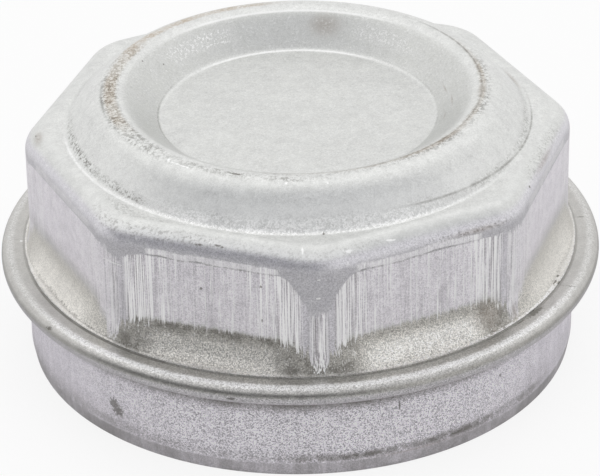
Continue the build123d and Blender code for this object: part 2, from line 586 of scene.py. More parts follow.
def wander(turn, height, seed):
    """A smooth uneven value from 0 to 1 over the cap, the same each time."""
    total = np.zeros_like(turn)
    for octave in range(4):
        around = 3 + 5 * octave + seed
        upward = (0.16 + 0.11 * octave) / MM
        total += np.sin(around * turn + 1.7 * seed + octave) * np.sin(upward * height + 2.3 * octave + seed)
        total += np.sin((around + 2) * turn - upward * height + 0.9 * seed)
    return 0.5 + total / 16


def press_sides(shell, sizes, place, stations):
    """Presses the spun blank to its eight-sided head, and gives it its small dents and uneven die line."""
    mesh = shell.data
    count = len(mesh.vertices)
    flat_list = np.empty(count * 3)
    mesh.vertices.foreach_get("co", flat_list)
    points = flat_list.reshape(count, 3)
    turn = np.arctan2(points[:, 1], points[:, 0])
    radius = np.hypot(points[:, 0], points[:, 1])
    tree = KDTree(len(stations))
    for index, station in enumerate(stations):
        tree.insert((station.flat, station.height, 0), index)
    tree.balance()
    found = [tree.find((r, z, 0))[1] for r, z in zip(radius, points[:, 2])]
    table = np.array(stations, dtype=float)[found]
    reach = outline_reach(table[:, 0], table[:, 2], turn)
    height = table[:, 1].copy()
    inside = table[:, 3] > 0.5
    on_lip = ~inside & (height > place.flange_top) & (height <= place.lip_top + SAME_POINT)
    on_lip &= table[:, 0] > place.foot_radius
    ragged = np.clip(wander(turn * 5, height * 0, 3) * 1.6 - 0.4, 0, 1)
    reach = np.where(on_lip, reach - ragged * sizes.lip_wear, reach)
    dented = ~inside & (height > place.lip_top) & (height < place.ridge_top - sizes.ridge_flat)
    dent = sizes.dent_depth * np.clip(wander(turn, height, 1) - 0.35, 0, 1)
    reach = np.where(dented, reach - dent, reach)
    points[:, 0] = reach * np.cos(turn)
    points[:, 1] = reach * np.sin(turn)
    points[:, 2] = height
    middle = radius < SAME_POINT
    points[middle, 0] = 0
    points[middle, 1] = 0
    mesh.vertices.foreach_set("co", points.ravel())
    mesh.update()
    return inside


class Graph:
    """Steps of a shader tree: each call adds a node, links what it is given and returns the output."""

    def __init__(self, tree):
        self.tree = tree

    def node(self, kind, **settings):
        """A node with its settings."""
        node = self.tree.nodes.new(kind)
        for name, value in settings.items():
            setattr(node, name, value)
        return node

    def feed(self, socket, value):
        """Links an output to a socket, or sets a plain value on it."""
        if isinstance(value, bpy.types.NodeSocket):
            self.tree.links.new(value, socket)
        elif socket.type == "RGBA" and len(value) == 3:
            socket.default_value = (*value, 1.0)
        else:
            socket.default_value = value

    def math(self, operation, *values):
        """A Math node."""
        node = self.node("ShaderNodeMath", operation=operation)
        for socket, value in zip(node.inputs, values):
            self.feed(socket, value)
        return node.outputs[0]

    def times(self, first, *others):
        """The product of masks or values."""
        for other in others:
            first = self.math("MULTIPLY", first, other)
        return first

    def ramp(self, value, low, high, start=0.0, end=1.0):
        """A smooth change from start to end as a value goes from low to high."""
        node = self.node("ShaderNodeMapRange", interpolation_type="SMOOTHSTEP")
        for socket, given in zip(node.inputs, (value, low, high, start, end)):
            self.feed(socket, given)
        return node.outputs[0]

    def band(self, value, low, high, soft):
        """1 between two values, with soft ends."""
        rise = self.ramp(value, low - soft, low + soft)
        return self.times(rise, self.fall(value, high - soft, high + soft))

    def fall(self, value, low, high):
        """A smooth change from 1 to 0 as a value goes from low to high."""
        return self.ramp(value, low, high, 1.0, 0.0)

    def invert(self, value):
        """1 less a mask."""
        return self.math("SUBTRACT", 1.0, value)

    def centred(self, value):
        """A value from 0 to 1 as one from -0.5 to 0.5."""
        return self.math("SUBTRACT", value, 0.5)

    def scaled(self, value, amount, start):
        """A value times an amount, added to a start."""
        return self.math("MULTIPLY_ADD", value, amount, start)

    def most(self, first, *others):
        """The strongest of several masks."""
        for other in others:
            first = self.math("MAXIMUM", first, other)
        return first

    def within(self, facing, half, inner, outer):
        """1 where a cosine is near 1, fading from an inner to an outer share of half a sector in degrees."""
        return self.ramp(facing, math.cos(math.radians(half * outer)), math.cos(math.radians(half * inner)))

    def sector(self, turn, middle, half):
        """1 in one part of the turn about the axis, given in degrees."""
        facing = self.math("COSINE", self.math("SUBTRACT", turn, math.radians(middle)))
        return self.within(facing, half, FADE_INNER, FADE_OUTER)

    def front_and_back(self, turn, half, inner=FADE_INNER, outer=FADE_OUTER):
        """1 in a part of the turn at the front, and in the same part at the back."""
        across = self.math("ABSOLUTE", self.math("SINE", turn))
        return self.within(across, half, inner, outer)

    def stretch(self, vector, scale):
        """A vector times a scale for each axis."""
        node = self.node("ShaderNodeVectorMath", operation="MULTIPLY")
        self.feed(node.inputs[0], vector)
        self.feed(node.inputs[1], scale)
        return node.outputs[0]

    def noise(self, vector, scale, detail=2.0, roughness=0.5):
        """Smooth noise from 0 to 1."""
        node = self.node("ShaderNodeTexNoise")
        self.feed(node.inputs["Vector"], vector)
        node.inputs["Scale"].default_value = scale
        node.inputs["Detail"].default_value = detail
        node.inputs["Roughness"].default_value = roughness
        return node.outputs[0]

    def cells(self, vector, scale):
        """A tone from 0 to 1 for each of many small uneven cells."""
        node = self.node("ShaderNodeTexVoronoi")
        self.feed(node.inputs["Vector"], vector)
        node.inputs["Scale"].default_value = scale
        split = self.node("ShaderNodeSeparateColor")
        self.feed(split.inputs[0], node.outputs["Color"])
        return split.outputs[0]

    def mix(self, amount, first, second, blend="MIX"):
        """One colour laid over another."""
        node = self.node("ShaderNodeMix", data_type="RGBA", blend_type=blend)
        self.feed(node.inputs[0], amount)
        self.feed(node.inputs[6], first)
        self.feed(node.inputs[7], second)
        return node.outputs[2]

    def grey(self, value):
        """A value as a colour."""
        node = self.node("ShaderNodeCombineColor")
        for socket in node.inputs:
            self.feed(socket, value)
        return node.outputs[0]

    def group(self, tree, **inputs):
        """A node group with its inputs, by name with underscores for spaces."""
        node = self.node("ShaderNodeGroup", node_tree=tree)
        for name, value in inputs.items():
            self.feed(node.inputs[name.replace("_", " ")], value)
        return node.outputs


def new_group(name, inputs, outputs):
    """An empty shader node group, with the graph, input sockets and output node to fill it by."""
    tree = bpy.data.node_groups.new(name, "ShaderNodeTree")
    for socket_name, kind in inputs:
        tree.interface.new_socket(socket_name, in_out="INPUT", socket_type=kind)
    for socket_name, kind in outputs:
        tree.interface.new_socket(socket_name, in_out="OUTPUT", socket_type=kind)
    graph = Graph(tree)
    return tree, graph, graph.node("NodeGroupInput").outputs, graph.node("NodeGroupOutput").inputs


def places_group():
    """Where a point is: place, radius, height and distance off a corner in millimetres, turn in radians."""
    outputs = [
        ("Place", "NodeSocketVector"),
        ("Radius", "NodeSocketFloat"),
        ("Height", "NodeSocketFloat"),
        ("Off corner", "NodeSocketFloat"),
        ("Turn", "NodeSocketFloat"),
    ]
    tree, graph, _, ends = new_group("Places on the cap", [], outputs)
    coordinates = graph.node("ShaderNodeTexCoord")
    place = graph.stretch(coordinates.outputs["Object"], (1 / MM, 1 / MM, 1 / MM))
    split = graph.node("ShaderNodeSeparateXYZ")
    graph.feed(split.inputs[0], place)
    across = graph.math("MULTIPLY", split.outputs[0], split.outputs[0])
    radius = graph.math("SQRT", graph.scaled(split.outputs[1], split.outputs[1], across))
    turn = graph.math("ARCTAN2", split.outputs[1], split.outputs[0])
    off_corner = graph.math("MULTIPLY", graph.math("PINGPONG", turn, HALF_SIDE), radius)
    for name, value in (
        ("Place", place),
        ("Radius", radius),
        ("Height", split.outputs[2]),
        ("Off corner", off_corner),
        ("Turn", turn),
    ):
        graph.feed(ends[name], value)
    return tree


def streaks_group():
    """Upright lines that the die scrapes in the metal: fine, broad and single ones, from 0 to 1."""
    inputs = [("Place", "NodeSocketVector")]
    outputs = [("Fine", "NodeSocketFloat"), ("Broad", "NodeSocketFloat"), ("Single", "NodeSocketFloat")]
    tree, graph, starts, ends = new_group("Die streaks", inputs, outputs)
    fine = graph.noise(graph.stretch(starts["Place"], (6.0, 6.0, 0.16)), 1.0, 3.0, 0.6)
    broad = graph.noise(graph.stretch(starts["Place"], (0.9, 0.9, 0.05)), 1.0, 2.0)
    single = graph.noise(graph.stretch(starts["Place"], (6.2, 6.2, 0.08)), 1.0, 2.0, 0.6)
    graph.feed(ends["Fine"], graph.ramp(fine, 0.3, 0.7))
    graph.feed(ends["Broad"], graph.ramp(broad, 0.3, 0.7))
    graph.feed(ends["Single"], single)
    return tree


def grain_group():
    """Grain of the plating, its mottling, slow cloudy changes of tone and scattered specks, from 0 to 1."""
    inputs = [("Place", "NodeSocketVector")]
    outputs = [
        ("Grain", "NodeSocketFloat"),
        ("Mottle", "NodeSocketFloat"),
        ("Clouds", "NodeSocketFloat"),
        ("Specks", "NodeSocketFloat"),
    ]
    tree, graph, starts, ends = new_group("Plating grain", inputs, outputs)
    grain = graph.cells(starts["Place"], 8.8)
    mottle = graph.noise(starts["Place"], 0.7, 4.0, 0.65)
    clouds = graph.noise(starts["Place"], 0.2, 3.0, 0.55)
    specks = graph.noise(starts["Place"], 2.6, 3.0, 0.75)
    graph.feed(ends["Grain"], grain)
    graph.feed(ends["Mottle"], graph.ramp(mottle, 0.25, 0.75))
    graph.feed(ends["Clouds"], graph.ramp(clouds, 0.3, 0.7))
    graph.feed(ends["Specks"], specks)
    return tree


def new_metal(name):
    """A plain metal material, with its graph and its shader."""
    material = bpy.data.materials.new(name)
    material.use_nodes = True
    shader = material.node_tree.nodes["Principled BSDF"]
    shader.inputs["Metallic"].default_value = 1.0
    return material, Graph(material.node_tree), shader


def dress(graph, shader, base, rough, scattered):
    """Gives a metal its colour, its roughness and the share of light that it scatters."""
    graph.feed(shader.inputs["Base Color"], base)
    graph.feed(shader.inputs["Roughness"], rough)
    graph.feed(shader.inputs["Metallic"], graph.invert(scattered))


def add_bump(graph, shader, height, depth):
    """A bump of a depth in metres under the shader."""
    bump = graph.node("ShaderNodeBump")
    bump.inputs["Strength"].default_value = 1.0
    bump.inputs["Distance"].default_value = depth
    graph.feed(bump.inputs["Height"], height)
    graph.feed(shader.inputs["Normal"], bump.outputs[0])


def spots(graph, on_cap, plating, marks, soft):
    """Mask of several small marks, broken up by the plating's specks."""
    ragged = graph.scaled(plating["Specks"], RAGGED, -RAGGED / 2)
    masks = []
    for mark in marks:
        turn = math.radians(mark.turn)
        local = graph.node("ShaderNodeMapping", vector_type="TEXTURE")
        graph.feed(local.inputs["Vector"], on_cap["Place"])
        local.inputs["Location"].default_value = (
            mark.radius * math.cos(turn), mark.radius * math.sin(turn), mark.height
        )
        local.inputs["Rotation"].default_value = (0, 0, turn)
        local.inputs["Scale"].default_value = (mark.across, mark.along, mark.upright)
        away = graph.node("ShaderNodeVectorMath", operation="LENGTH")
        graph.feed(away.inputs[0], local.outputs[0])
        uneven = graph.math("ADD", away.outputs["Value"], ragged)
        masks.append(graph.fall(uneven, 1 - soft, 1 + soft))
    return graph.most(*masks)


def beside_ring(graph, on_cap, radius, lean):
    """How far a point is from a ring on the top, whose radius changes by a lean for each radian of turn."""
    return graph.math("SUBTRACT", on_cap["Radius"], graph.scaled(on_cap["Turn"], lean, radius))


def lip_highlight_strength(graph, on_cap):
    """How strong the painted highlight on the die line's edge is round the cap, most at the front right."""
    return graph.scaled(graph.sector(on_cap["Turn"], -42, 14), 0.6, 0.3)


def plated_base(graph, finish, plating):
    """Colour of the zinc plating, with its slow changes of tone."""
    return graph.mix(graph.times(plating["Clouds"], 0.2), finish.plated, finish.inside)


def grained(graph, base, plating, amount, mottled):
    """A colour with the plating's grain and mottling, each as strong as an amount."""
    grain = graph.scaled(graph.centred(plating["Grain"]), amount, 1.0)
    mottle = graph.scaled(plating["Mottle"], mottled, 1 - mottled / 2)
    return graph.mix(1.0, base, graph.grey(graph.times(grain, mottle)), "MULTIPLY")


def lay_marks(graph, base, finish, on_cap, plating, marks, bright, dirt_and_shade):
    """A colour under bright edges and painted highlights, soiling, painted shade and marks of handling, with
    masks of what is bright and what is dark.
    """
    bright = graph.most(bright, graph.times(spots(graph, on_cap, plating, marks.bright, CRISP), 0.8))
    base = graph.mix(bright, base, finish.burnished)
    broken = graph.ramp(plating["Specks"], 0.36, 0.6, 0.2, 0.5)
    stain = graph.times(spots(graph, on_cap, plating, marks.stain, BLURRED), broken)
    base = graph.mix(stain, base, finish.stain)
    nicks = graph.times(spots(graph, on_cap, plating, marks.dark, CRISP), 0.75)
    dirt_and_shade = graph.most(graph.times(dirt_and_shade, 0.75), nicks)
    return graph.mix(dirt_and_shade, base, finish.grime), bright, dirt_and_shade


# Lengths in the finishes are in millimetres, and turns in degrees, with the front at -90 and the right at 0


def top_earth(graph, on_cap, plating, place):
    """Mask of the dry earth on the ridge, mostly on the left."""
    turn = on_cap["Turn"]
    radius = on_cap["Radius"]
    ridge = place.ridge_radius / MM
    left = graph.times(graph.band(radius, ridge - 0.5, ridge + 1.0, 0.35), graph.sector(turn, 174, 27))
    behind = graph.times(graph.band(radius, ridge + 0.1, ridge + 1.4, 0.3), graph.sector(turn, 126, 30))
    beside_crest = beside_ring(graph, on_cap, ridge + CREST_START, CREST_LEAN)
    right_turns = graph.most(graph.sector(turn, -2, 14), graph.sector(turn, -42, 24))
    right_turns = graph.most(right_turns, graph.times(graph.sector(turn, -40, 62), 0.5))
    right = graph.times(graph.band(beside_crest, -0.2, 0.45, 0.3), right_turns, 0.75)
    return graph.times(graph.most(left, behind, right), graph.ramp(plating["Specks"], 0.4, 0.56, 0.35, 1.0))


def top_dirt_and_shade(graph, on_cap, plating, place):
    """Mask of the specks along the ridge and the step, of thin dark lines beside them, and of painted shade
    in the crease at the floor's edge.
    """
    turn = on_cap["Turn"]
    radius = on_cap["Radius"]
    step = place.step_radius / MM
    ridge = place.ridge_radius / MM
    floor = place.floor_radius / MM
    speckled = graph.ramp(plating["Specks"], 0.46, 0.6)
    on_left = graph.times(graph.band(radius, ridge - 0.7, ridge + 1.5, 0.4), graph.sector(turn, -174, 36))
    beside_crest = beside_ring(graph, on_cap, ridge + CREST_START, CREST_LEAN)
    on_right = graph.times(graph.band(beside_crest, -0.35, 1.2, 0.4), graph.sector(turn, -42, 58), 0.75)
    step_turns = graph.most(graph.sector(turn, -155, 28), graph.times(graph.sector(turn, -30, 30), 0.5), 0.3)
    at_step = graph.times(graph.band(radius, step - 0.85, step - 0.15, 0.25), step_turns)
    stray = graph.times(graph.ramp(plating["Specks"], 0.56, 0.68), 0.2)
    pitted = graph.times(graph.band(radius, step - 1.6, step - 0.2, 0.5), graph.sector(turn, -94, 44))
    pitted = graph.times(pitted, graph.fall(plating["Specks"], 0.4, 0.46), 0.3)
    on_front = graph.band(radius, ridge - 0.4, ridge + 0.9, 0.4)
    on_front = graph.times(on_front, graph.sector(turn, -115, 34), 0.6)
    on_land = graph.times(graph.ramp(radius, step + 0.6, step + 1.4), graph.sector(turn, -130, 14), 0.5)
    zone = graph.most(on_left, on_right, on_front, at_step, on_land)
    specks = graph.most(graph.times(zone, speckled), stray, pitted)

    # Lines along the ridge and the step on the right, and outside the ridge on the left; painted shade in the
    # crease at the floor's edge
    crest_line = graph.times(graph.band(beside_crest, -0.15, 0.15, 0.12), graph.sector(turn, -30, 72), 0.9)
    left_edge = graph.band(radius, ridge + 1.2, ridge + 1.5, 0.12)
    left_edge = graph.times(left_edge, graph.sector(turn, -177, 10), 0.8)
    step_line = graph.band(beside_ring(graph, on_cap, step + STEP_START, STEP_LEAN), -0.1, 0.1, 0.12)
    step_line = graph.times(step_line, graph.sector(turn, -32, 36), 0.8)
    # Painted shade in the crease at the floor's edge, on the left and right
    floor_turns = graph.most(graph.sector(turn, 178, 30), graph.times(graph.sector(turn, 0, 45), 0.6))
    floor_crease_shade = graph.times(graph.band(radius, floor + 0.15, floor + 0.35, 0.12), floor_turns, 0.55)
    lines = graph.most(crest_line, left_edge, step_line, floor_crease_shade)
    return graph.most(specks, graph.times(lines, graph.ramp(plating["Specks"], 0.38, 0.55, 0.5, 1.0)))


def top_rubbed_and_highlit(graph, on_cap, plating, place):
    """Mask of the top's bright edges: the step at the front and left, the recess's rim at the back, and a
    painted highlight at the floor's edge at the back.
    """
    turn = on_cap["Turn"]
    radius = on_cap["Radius"]
    step = place.step_radius / MM
    ridge = place.ridge_radius / MM
    floor = place.floor_radius / MM
    nicked = graph.ramp(plating["Specks"], 0.42, 0.58)
    flecked = graph.ramp(plating["Specks"], 0.47, 0.54)
    flecked = graph.times(flecked, graph.ramp(plating["Grain"], 0.2, 0.6, 0.4, 1.0))
    at_front = graph.ramp(radius, step - 1.9, step - 0.2)
    at_front = graph.times(at_front, graph.fall(radius, step + 0.1, step + 0.5))
    at_front = graph.times(at_front, flecked, graph.sector(turn, -94, 44))
    at_left = graph.times(graph.band(radius, step + 0.15, step + 0.45, 0.12), graph.sector(turn, -150, 24))
    at_left = graph.times(at_left, graph.scaled(nicked, 0.4, 0.3))
    back = graph.sector(turn, 92, 36)
    at_rim = graph.times(graph.band(radius, ridge - 1.6, ridge - 1.3, 0.15), back, 0.5)
    # A painted highlight at the floor's edge, at the back only
    floor_edge_highlight = graph.times(graph.band(radius, floor - 0.25, floor, 0.12), back, 0.5)

    # A painted sheen low on the dome at the front, stray bright flecks, and flaked patches in the recess
    dome_sheen = graph.times(graph.band(radius, ridge + 3.6, step - 0.7, 0.6), graph.sector(turn, -92, 60), 0.13)
    flecks = graph.times(graph.fall(plating["Specks"], 0.34, 0.44), 0.25)
    flaked = graph.most(graph.sector(turn, 127, 15), graph.times(graph.sector(turn, 50, 14), 0.7))
    flaked = graph.times(graph.band(radius, floor + 1.8, floor + 3.6, 0.4), flaked)
    flaked = graph.times(flaked, graph.ramp(plating["Specks"], 0.53, 0.6), 0.8)
    return graph.most(at_front, at_left, at_rim, floor_edge_highlight, dome_sheen, flecks, flaked)


def top_metal(finish, place, groups):
    """Plating on the floor, ridge, dome band and step, with the soiling that storage has left, and painted
    light and shade.
    """
    material, graph, shader = new_metal("zinc_top")
    on_cap = graph.group(groups.places)
    plating = graph.group(groups.grain, Place=on_cap["Place"])
    floor = place.floor_radius / MM
    ridge = place.ridge_radius / MM
    base = plated_base(graph, finish, plating)
    # Dull mottled patches on the recess walls, with painted shade over the walls and the floor
    recess = graph.band(on_cap["Radius"], floor + 0.2, ridge - 1.5, 0.4)
    recess = graph.times(recess, graph.ramp(plating["Mottle"], 0.1, 0.9, 0.24, 0.6))
    dull_and_shade = graph.most(recess, graph.ramp(on_cap["Radius"], floor - 0.4, floor + 0.1, 0.17, 0.0))
    base = graph.mix(dull_and_shade, base, finish.dull)
    base = grained(graph, base, plating, 0.16, 0.12)
    patchy = graph.ramp(plating["Clouds"], 0.2, 0.8, 0.5, 1.0)
    earth = graph.times(top_earth(graph, on_cap, plating, place), patchy)
    base = graph.mix(graph.times(earth, 0.8), base, finish.ochre)
    dirt_and_shade = graph.times(top_dirt_and_shade(graph, on_cap, plating, place), patchy)
    # The bright mask holds painted highlights as well as rubbed edges
    rubbed = top_rubbed_and_highlit(graph, on_cap, plating, place)
    base, bright, dirt_and_shade = lay_marks(graph, base, finish, on_cap, plating, TOP_MARKS, rubbed, dirt_and_shade)
    scattered = graph.times(graph.most(bright, earth), finish.bright_scatter)
    dress(graph, shader, base, graph.scaled(dirt_and_shade, finish.dirt_roughness, finish.plated_roughness), scattered)
    add_bump(graph, shader, plating["Grain"], finish.top_relief)
    return material


def side_zones(graph, on_cap, streaks, plating, place):
    """Masks of the sides: the scraped flats, the bright band along their tops, the scoops and the bend."""
    lip_top = place.lip_top / MM
    scoop_top = place.scoop_top / MM
    bend_start = place.bend_start / MM
    shoulder_top = place.shoulder_top / MM
    turn = on_cap["Turn"]
    height = on_cap["Height"]
    off_corner = on_cap["Off corner"]
    zones = SimpleNamespace()
    zones.on_flat = graph.ramp(off_corner, 4.5, 5.4)
    zones.sharp = graph.front_and_back(turn, 44, 0.93, 1.1)
    zones.firm = graph.scaled(zones.sharp, 0.7, 0.3)
    sway = graph.centred(streaks["Fine"])
    jag = graph.centred(streaks["Single"])

    # The front and back corners keep a tongue of plating, the front left one a little
    tongue = graph.scaled(graph.front_and_back(turn, 14), 4.6, 0.4)
    tongue = graph.scaled(graph.sector(turn, -130.5, 5), 1.0, tongue)
    short = graph.invert(graph.math("SQRT", graph.ramp(off_corner, 1.1, 4.75)))
    worn_top = graph.math("SUBTRACT", bend_start - 0.55, graph.times(tongue, short))
    worn_top = graph.scaled(graph.times(short, sway), 1.3, worn_top)
    above = graph.math("SUBTRACT", height, worn_top)

    # The scraping ends in ragged lines, lowest on the corners
    on_corner = graph.ramp(off_corner, 0.7, 1.4, lip_top + 0.5, scoop_top - 1.4)
    worn_foot = graph.math("ADD", on_corner, graph.ramp(off_corner, 1.8, 3.8, 0.0, 1.4))
    ragged = graph.times(jag, graph.ramp(off_corner, 3.8, 6.0, -7.0, -2.2))
    ragged = graph.scaled(sway, 0.6, ragged)
    ragged = graph.times(ragged, zones.firm)
    below = graph.math("SUBTRACT", graph.math("ADD", worn_foot, ragged), height)
    below = graph.times(below, zones.firm)
    scraped = graph.times(graph.fall(above, -0.08, 0.1), graph.fall(below, -0.5, 0.4))

    # A bright band with uneven edges runs along the top of each flat
    zones.wavy = graph.scaled(plating["Mottle"], 0.14, graph.math("SUBTRACT", height, 0.22))
    zones.wavy = graph.scaled(plating["Clouds"], 0.3, zones.wavy)
    band = graph.times(graph.band(zones.wavy, bend_start - 0.38, bend_start + 0.45, 0.12), zones.on_flat)
    zones.band = graph.times(band, graph.scaled(zones.sharp, 0.6, 0.4))
    zones.worn = graph.times(graph.most(scraped, zones.band), graph.ramp(height, lip_top, lip_top + 0.3))

    unworn = graph.invert(zones.worn)
    zones.scoop = graph.times(graph.fall(height, scoop_top - 0.3, scoop_top + 0.3), unworn)
    zones.bend = graph.times(graph.band(height, scoop_top + 2, shoulder_top - 1.0, 0.4), unworn)
    return zones


def die_marks(graph, base, finish, on_cap, streaks, plating, zones, place):
    """The colour with the die's tone on the flats, and a mask of the bright lines that its edges scrape."""
    bend_start = place.bend_start / MM
    off_corner = on_cap["Off corner"]
    depth = graph.times(zones.worn, zones.firm)
    fine = graph.times(graph.centred(streaks["Fine"]), graph.ramp(off_corner, 4.6, 7.0, 0.26, 0.2))
    lines = graph.scaled(graph.centred(streaks["Broad"]), 0.14, fine)
    lines = graph.scaled(graph.centred(plating["Mottle"]), 0.05, lines)
    # Painted light: the scraped flats on the left and right are made lighter than those at the front and
    # back, which are darker beside the corners
    near = graph.times(graph.ramp(off_corner, 3.8, 5.4, 0.09, 0.0), zones.sharp)
    level = graph.math("SUBTRACT", graph.scaled(zones.sharp, -0.06, 0.06), near)
    tone = graph.scaled(lines, depth, graph.scaled(level, zones.worn, 1.0))
    base = graph.mix(1.0, base, graph.grey(tone), "MULTIPLY")

    # Dark lines: one along the top of each flat, and gaps between the scraped lines beside the corners
    along_top = graph.times(graph.band(zones.wavy, bend_start - 0.6, bend_start - 0.42, 0.09), zones.on_flat)
    along_top = graph.times(along_top, zones.sharp, graph.ramp(plating["Specks"], 0.42, 0.56, 0.05, 0.42))
    beside = graph.ramp(off_corner, 4.2, 5.8, 1.0, 0.1)
    gaps = graph.times(graph.fall(streaks["Single"], 0.4, 0.46), beside, depth, 0.4)
    base = graph.mix(graph.most(along_top, gaps), base, finish.grime)

    # Bright lines, close together beside the corners, with a dull strip on each side of the middle ones
    away = graph.ramp(off_corner, 4.5, 9.5)
    edge = graph.scaled(away, 0.115, 0.5)
    bright = graph.ramp(graph.math("SUBTRACT", streaks["Single"], edge), 0.0, 0.02)
    strip = graph.times(graph.band(off_corner, 1.0, 2.1, 0.4), zones.sharp)
    base = graph.mix(graph.times(strip, zones.worn, 0.75), base, finish.bend)
    bright = graph.times(bright, depth, graph.invert(strip))

    # Short bright streaks run on down into the scoops
    run_down = graph.ramp(streaks["Single"], 0.6, 0.64)
    run_down = graph.times(run_down, graph.ramp(plating["Specks"], 0.46, 0.54))
    run_down = graph.times(run_down, zones.scoop, zones.sharp, 0.7)
    return base, graph.most(bright, run_down, graph.times(zones.band, 0.3))


def side_shade_and_grime(graph, on_cap, plating, zones, place):
    """Masks of the sides' thin painted shade, under the flats and at the corners' feet, and of their dark
    specks.
    """
    turn = on_cap["Turn"]
    height = on_cap["Height"]
    off_corner = on_cap["Off corner"]
    lip_top = place.lip_top / MM
    scoop_top = place.scoop_top / MM
    bend_start = place.bend_start / MM
    shoulder_top = place.shoulder_top / MM
    # Painted shade under the flats, most at the front left, a little in the right scoop, beside the corners
    # and at their feet, and along the feet of the side flats
    front_left = graph.sector(turn, -114, 24)
    under_flats = graph.ramp(height, scoop_top - 2.6, scoop_top - 0.5)
    shaded = graph.scaled(front_left, 0.36, graph.scaled(zones.sharp, 0.22, 0.1))
    under_flats = graph.times(under_flats, shaded)
    under_flats = graph.most(under_flats, graph.times(front_left, 0.16))
    under_flats = graph.most(under_flats, graph.times(graph.sector(turn, -20, 16), 0.08))
    beside_corner = graph.scaled(zones.sharp, 0.4, 0.08)
    beside_corner = graph.times(graph.band(off_corner, 1.8, 5.8, 1.2), beside_corner)
    low = graph.fall(height, lip_top + 0.8, lip_top + 3.0)
    corner_foot = graph.ramp(height, lip_top + 0.6, lip_top + 4.2, 0.66, 0.36)
    corner_foot = graph.times(graph.fall(off_corner, 3.6, 6.6), corner_foot, zones.sharp)
    in_scoop = graph.times(graph.most(under_flats, beside_corner, corner_foot), zones.scoop)
    on_corner = graph.times(graph.fall(off_corner, 2.0, 4.0), low, zones.worn, 0.15)
    flat_foot = graph.band(height, scoop_top - 0.4, scoop_top + 1.6, 1.0)
    flat_foot = graph.times(flat_foot, graph.invert(zones.sharp), 0.13)
    grime = graph.times(graph.most(in_scoop, on_corner), graph.ramp(plating["Mottle"], 0.2, 0.8, 0.7, 1.2))
    grime = graph.most(grime, flat_foot)

    # Specks along the bend and at the foot of the scoops, and a thin line above the die line
    speckled = graph.ramp(plating["Specks"], 0.48, 0.62)
    bend_turns = graph.most(graph.sector(turn, -127, 16), graph.times(graph.sector(turn, -92, 18), 0.6), 0.15)
    bend_turns = graph.most(bend_turns, graph.times(graph.sector(turn, -20, 12), 0.8))
    at_bend = graph.times(graph.band(height, shoulder_top - 1.35, shoulder_top - 0.2, 0.3), bend_turns, 0.5)
    lip_turns = graph.most(graph.sector(turn, -142, 24), graph.times(graph.sector(turn, -35, 40), 0.5), 0.4)
    at_foot = graph.times(graph.band(height, lip_top + 0.1, lip_top + 0.3, 0.15), lip_turns)
    above_lip = graph.times(graph.band(height, lip_top + 0.1, lip_top + 0.2, 0.07), lip_turns, 0.4)
    low_bend = graph.band(height, bend_start + 0.5, bend_start + 1.2, 0.3)
    low_bend = graph.times(low_bend, graph.sector(turn, -56, 10), 0.7)
    return grime, graph.most(graph.times(graph.most(at_bend, low_bend, at_foot), speckled), above_lip)


def side_rubbed_and_highlit(graph, on_cap, plating, zones, place, scraped):
    """Mask of the scraped lines, the die line's painted highlight, flecks on the bend, and painted light in
    the scoop at the front right and on the bend at the front left.
    """
    turn = on_cap["Turn"]
    height = on_cap["Height"]
    lip_top = place.lip_top / MM
    # A painted highlight on the die line's edge, broken by nicks
    lip_edge_highlight = graph.band(height, lip_top - 0.05, lip_top + 0.12, 0.06)
    lip_edge_highlight = graph.times(lip_edge_highlight, graph.ramp(plating["Specks"], 0.44, 0.56), lip_highlight_strength(graph, on_cap))
    flecks = graph.times(graph.fall(plating["Specks"], 0.34, 0.44), zones.bend, 0.3)
    # Painted light low in the scoop at the front right, and on the bend at the front left
    in_scoop = graph.times(graph.band(height, lip_top + 0.9, lip_top + 2.6, 0.7), zones.scoop, 0.16)
    in_scoop = graph.times(in_scoop, graph.sector(turn, -66, 13))
    on_bend = graph.band(height, place.bend_start / MM + 1.78, place.shoulder_top / MM - 0.4, 0.36)
    on_bend = graph.times(on_bend, graph.sector(turn, -112, 30), 0.4)
    return graph.most(scraped, lip_edge_highlight, flecks, in_scoop, on_bend)


